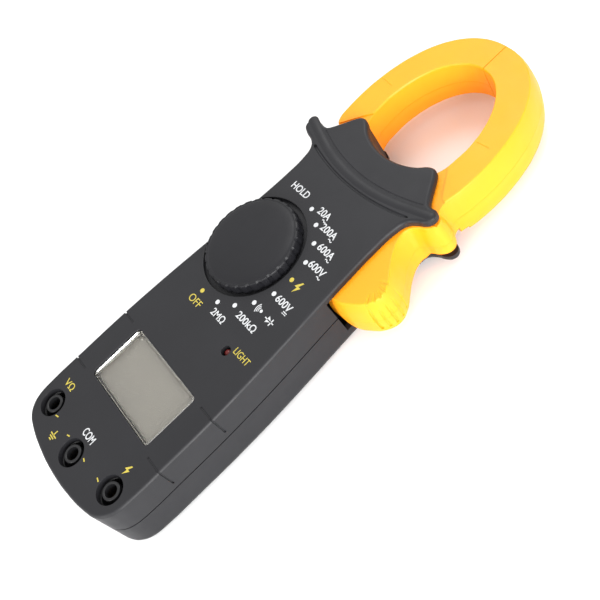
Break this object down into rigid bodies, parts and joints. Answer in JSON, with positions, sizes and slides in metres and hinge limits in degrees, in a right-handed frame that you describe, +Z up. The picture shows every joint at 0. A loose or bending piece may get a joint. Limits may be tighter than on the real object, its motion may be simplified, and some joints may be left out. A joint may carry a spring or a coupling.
{
  "type": "clamp meter",
  "caption": "Hand-held clamp meter with a split oval jaw opened by a thumb trigger, a scalloped range knob, a display window and shrouded test-lead jacks.",
  "frame": {"origin": "on the back plane, on the centre line of the case, level with the axis of the range knob", "axes": "+Z up out of the face as the meter lies on its back, +Y towards the jaw, +X towards the trigger"},
  "size_m": [0.0725, 0.1898, 0.0259],
  "materials": {
    "charcoal_case": "fine matt texture",
    "knob_grey": "matt",
    "black_plastic": "satin",
    "amber_plastic": "satin",
    "brass": "bright",
    "steel": "plain",
    "core_steel": "laminated",
    "copper": "enamelled wire",
    "board_green": "solder mask",
    "clear_window": "polished",
    "display_grey": "smooth",
    "red_lens": "polished",
    "contact_rubber": "matt",
    "cell_wrap": "printed sleeve",
    "ivory_plastic": "plain"
  },
  "bodies": {
    "meter": {"front_case": "charcoal_case", "rear_case": "charcoal_case", "battery_door": "charcoal_case", "case_screw_1": "steel", "case_screw_2": "steel", "case_screw_3": "steel", "case_screw_4": "steel", "battery_door_screw": "steel", "fixed_jaw_front": "amber_plastic", "fixed_jaw_rear": "amber_plastic", "fixed_core": "core_steel", "fixed_winding": "copper", "jaw_pin": "steel", "return_spring": "steel", "detent_ring": "ivory_plastic", "volt_ohm_jack_shroud": "black_plastic", "volt_ohm_jack_barrel": "brass", "common_jack_shroud": "black_plastic", "common_jack_barrel": "brass", "insulation_jack_shroud": "black_plastic", "insulation_jack_barrel": "brass", "lcd_window": "clear_window", "lcd_glass": "display_grey", "lcd_frame": "ivory_plastic", "contact_strip": "contact_rubber", "main_board": "board_green", "meter_chip": "black_plastic", "capacitor": "cell_wrap", "buzzer": "black_plastic", "led_lamp": "red_lens", "hold_switch": "black_plastic", "cell_1": "cell_wrap", "cell_1_spring": "steel", "cell_1_plate": "steel", "cell_2": "cell_wrap", "cell_2_spring": "steel", "cell_2_plate": "steel"},
    "jaw": {"moving_jaw_front": "amber_plastic", "moving_jaw_rear": "amber_plastic", "moving_core": "core_steel", "moving_winding": "copper"},
    "knob": {"range_knob": "knob_grey", "switch_rotor": "ivory_plastic", "detent_ball": "steel", "detent_spring": "steel", "contact_wiper_1": "brass", "contact_wiper_2": "brass", "contact_wiper_3": "brass"},
    "hold": {"hold_button": "knob_grey"}
  },
  "joints": [
    {"name": "jaw_hinge", "type": "hinge", "parent": "meter", "child": "jaw", "pos_m": [0.0205, 0.04, 0.012], "axis": [0, 0, -1], "range_deg": [0, 26], "stiffness_Nm_per_rad": 0.25, "springref_deg": -28.65, "deforming": ["return_spring"]},
    {"name": "knob_turn", "type": "hinge", "parent": "meter", "child": "knob", "pos_m": [-0.01, 0, 0.022], "axis": [0, 0, 1], "range_deg": [0, 167.7]},
    {"name": "hold_press", "type": "slide", "parent": "meter", "child": "hold", "axis": [1, 0, 0], "range_m": [0, 0.0008], "stiffness_N_per_m": 400, "springref_m": -0.001}
  ]
}
